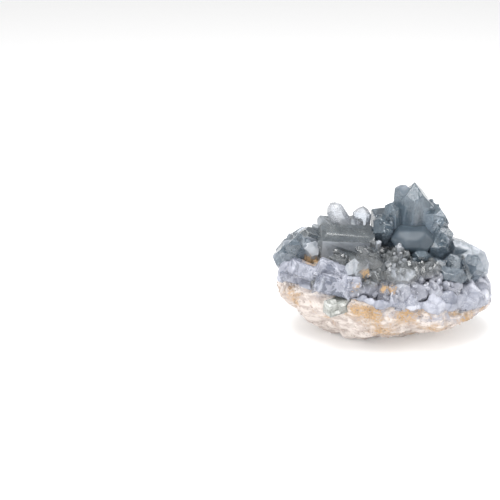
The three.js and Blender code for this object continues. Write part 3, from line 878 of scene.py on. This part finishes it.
# The rock and the pale crust keep the solids' own form under a fine, even skin
rind = {"voxel": 0.5, "smooth": 0, "swell": 0, "lumps": 1, "nodules": 0.4, "noduleSize": 2.4,
        "grains": 0.3, "pits": 1.8, "from": (-999, -998)}
crust = {"voxel": 0.4, "smooth": 40, "swell": 0.7, "lumps": 0.8, "nodules": 1.1, "noduleSize": 6,
         "grains": 0.25, "pits": 0, "from": (-16, -8)}  # nodules begin between these places along X
lumpScale, roughScale, pitScale, pitDepth = 0.22, 1.1, 0.45, 0.25
pitPlace = Vector((9, 4, 2))
flatFoot, chipsFrom, chipsSeed = 0.4, 3, 4  # below these heights the foot stays flat, and free of chips
# Tone of the skin: a random share per nodule, and painted shade lowering it in the creases between nodules
skinTone = {"base": 0.55, "nodules": 0.3, "creaseShade": 0.2, "creaseWidth": 0.2}
chips = dict(
    small, PerArea=160000.0, Smallest=0.3, Largest=1.0, Patches=160.0, Cover=0.5, Tilt=1.5, Paler=0.0)


def evenSkin(name, node, skin):
    form = bmesh.new()
    form.from_mesh(frame["nodes"][node].data)
    bmesh.ops.remove_doubles(form, verts=form.verts[:], dist=1e-6)
    piece = evened(newPiece(name, meshFrom(form, name)), skin)
    outwards = [vert.normal.copy() for vert in piece.data.vertices]
    tones, growths = [], []
    start, full = skin["from"]
    for vert, outward in zip(piece.data.vertices, outwards):
        spot = vert.co / mm
        steps, seeds = noise.voronoi(spot / skin["noduleSize"])
        share = min(1, max(0, (spot.x - start) / (full - start)))
        pit = max(0, noise.noise(spot * pitScale + pitPlace) - pitDepth)
        height = (skin["swell"] + skin["nodules"] * (0.5 - steps[0] ** 2)) * share - skin["pits"] * pit
        height += skin["lumps"] * noise.noise(spot * lumpScale)
        height += skin["grains"] * noise.noise(spot * roughScale)
        # painted shade: the tone is lowered along the sunk borders between nodules
        crease = max(0, 1 - (steps[1] - steps[0]) / skinTone["creaseWidth"])
        patch = skinTone["nodules"] * noise.cell(seeds[0] * 7) - skinTone["creaseShade"] * crease
        tones.append(skinTone["base"] + share * patch)
        growths.append(1 if spot.z > chipsFrom else 0)
        if spot.z > flatFoot:
            vert.co += outward * height * mm
            vert.co.z = max(vert.co.z, 0)
    mesh = piece.data
    mesh.attributes.new("tone", "FLOAT", "POINT").data.foreach_set("value", tones)
    mesh.attributes.new("growth", "FLOAT", "POINT").data.foreach_set("value", growths)
    ways = [part for outward in outwards for part in outward]
    mesh.attributes.new("along", "FLOAT_VECTOR", "POINT").data.foreach_set("vector", ways)
    mesh.polygons.foreach_set("use_smooth", [True] * len(mesh.polygons))
    return piece


rock = evenSkin("rock", "matrix", rind)
rindSkin = rindFinish(rockLook)
growing.put(rock, dict(chips, Crystal=sprout, Material=rindSkin, Seed=chipsSeed))
dress(freeze(rock), "matrix", "rock", rindSkin)
dress(evenSkin("paleCrust", "pale_crust", crust), "pale_crust", "pale_celestite", crustFinish)
bpy.data.objects.remove(sprout)
print("rock done,", len(rock.data.polygons), "faces, and the pale crust")


# Stage: pale floor, white surroundings, soft lights
floorReach = 8  # metres
floorGlow = 0.15  # as on a light table
floorTones = ((0.86, 0.86, 0.86, 1), (0.88, 0.88, 0.88, 1))
skyStrength = 0.75


def stage():
    floor = newPiece("floor", bpy.data.meshes.new("floor"))
    corners = [(x * floorReach, y * floorReach, 0) for x, y in ((-1, -1), (1, -1), (1, 1), (-1, 1))]
    floor.data.from_pydata(corners, [], [(0, 1, 2, 3)])
    finish = Finish("floor")
    tone = finish.mix(finish.noise(3, 1), *floorTones)
    floor.data.materials.append(finish.close(finish.shader({
        "Base Color": tone, "Roughness": 0.7, "Emission Color": (1, 1, 1, 1),
        "Emission Strength": floorGlow})))
    world = bpy.data.worlds.new("surroundings")
    world.use_nodes = True
    sky = world.node_tree.nodes["Background"].inputs
    sky["Color"].default_value = (1, 1, 1, 1)
    sky["Strength"].default_value = skyStrength
    bpy.context.scene.world = world


lights = {  # place in metres, size, watts
    "softboxAbove": ((-0.12, -0.1, 0.7), 0.5, 4.5),
    "softboxFront": ((-0.45, -0.65, 0.4), 0.5, 3),
    "softboxRight": ((0.7, -0.1, 0.35), 0.4, 2),
}
lightsAim = Vector((0, 0, 0.03))


def light():
    for name, (spot, size, watts) in lights.items():
        lamp = bpy.data.lights.new(name, "AREA")
        lamp.shape = "SQUARE"
        lamp.size = size
        lamp.energy = watts
        holder = bpy.data.objects.new(name, lamp)
        bpy.context.scene.collection.objects.link(holder)
        holder.location = spot
        holder.rotation_euler = (lightsAim - Vector(spot)).to_track_quat("-Z", "Y").to_euler()


# Camera: 20 degrees above the table, the cluster right of the frame's middle
camera = {"elevation": 20, "lens": 85, "spot": (-60.1, -497.1, 219.0)}


def aim():
    eye = bpy.data.cameras.new("camera")
    eye.lens = camera["lens"]
    eye.sensor_width = 36
    holder = bpy.data.objects.new("camera", eye)
    bpy.context.scene.collection.objects.link(holder)
    holder.location = Vector(camera["spot"]) * mm + place
    holder.rotation_euler = (math.radians(90 - camera["elevation"]), 0, 0)
    bpy.context.scene.camera = holder


stage()
light()
aim()
bpy.context.scene.view_settings.view_transform = "Standard"
print("stage, lights and camera done")
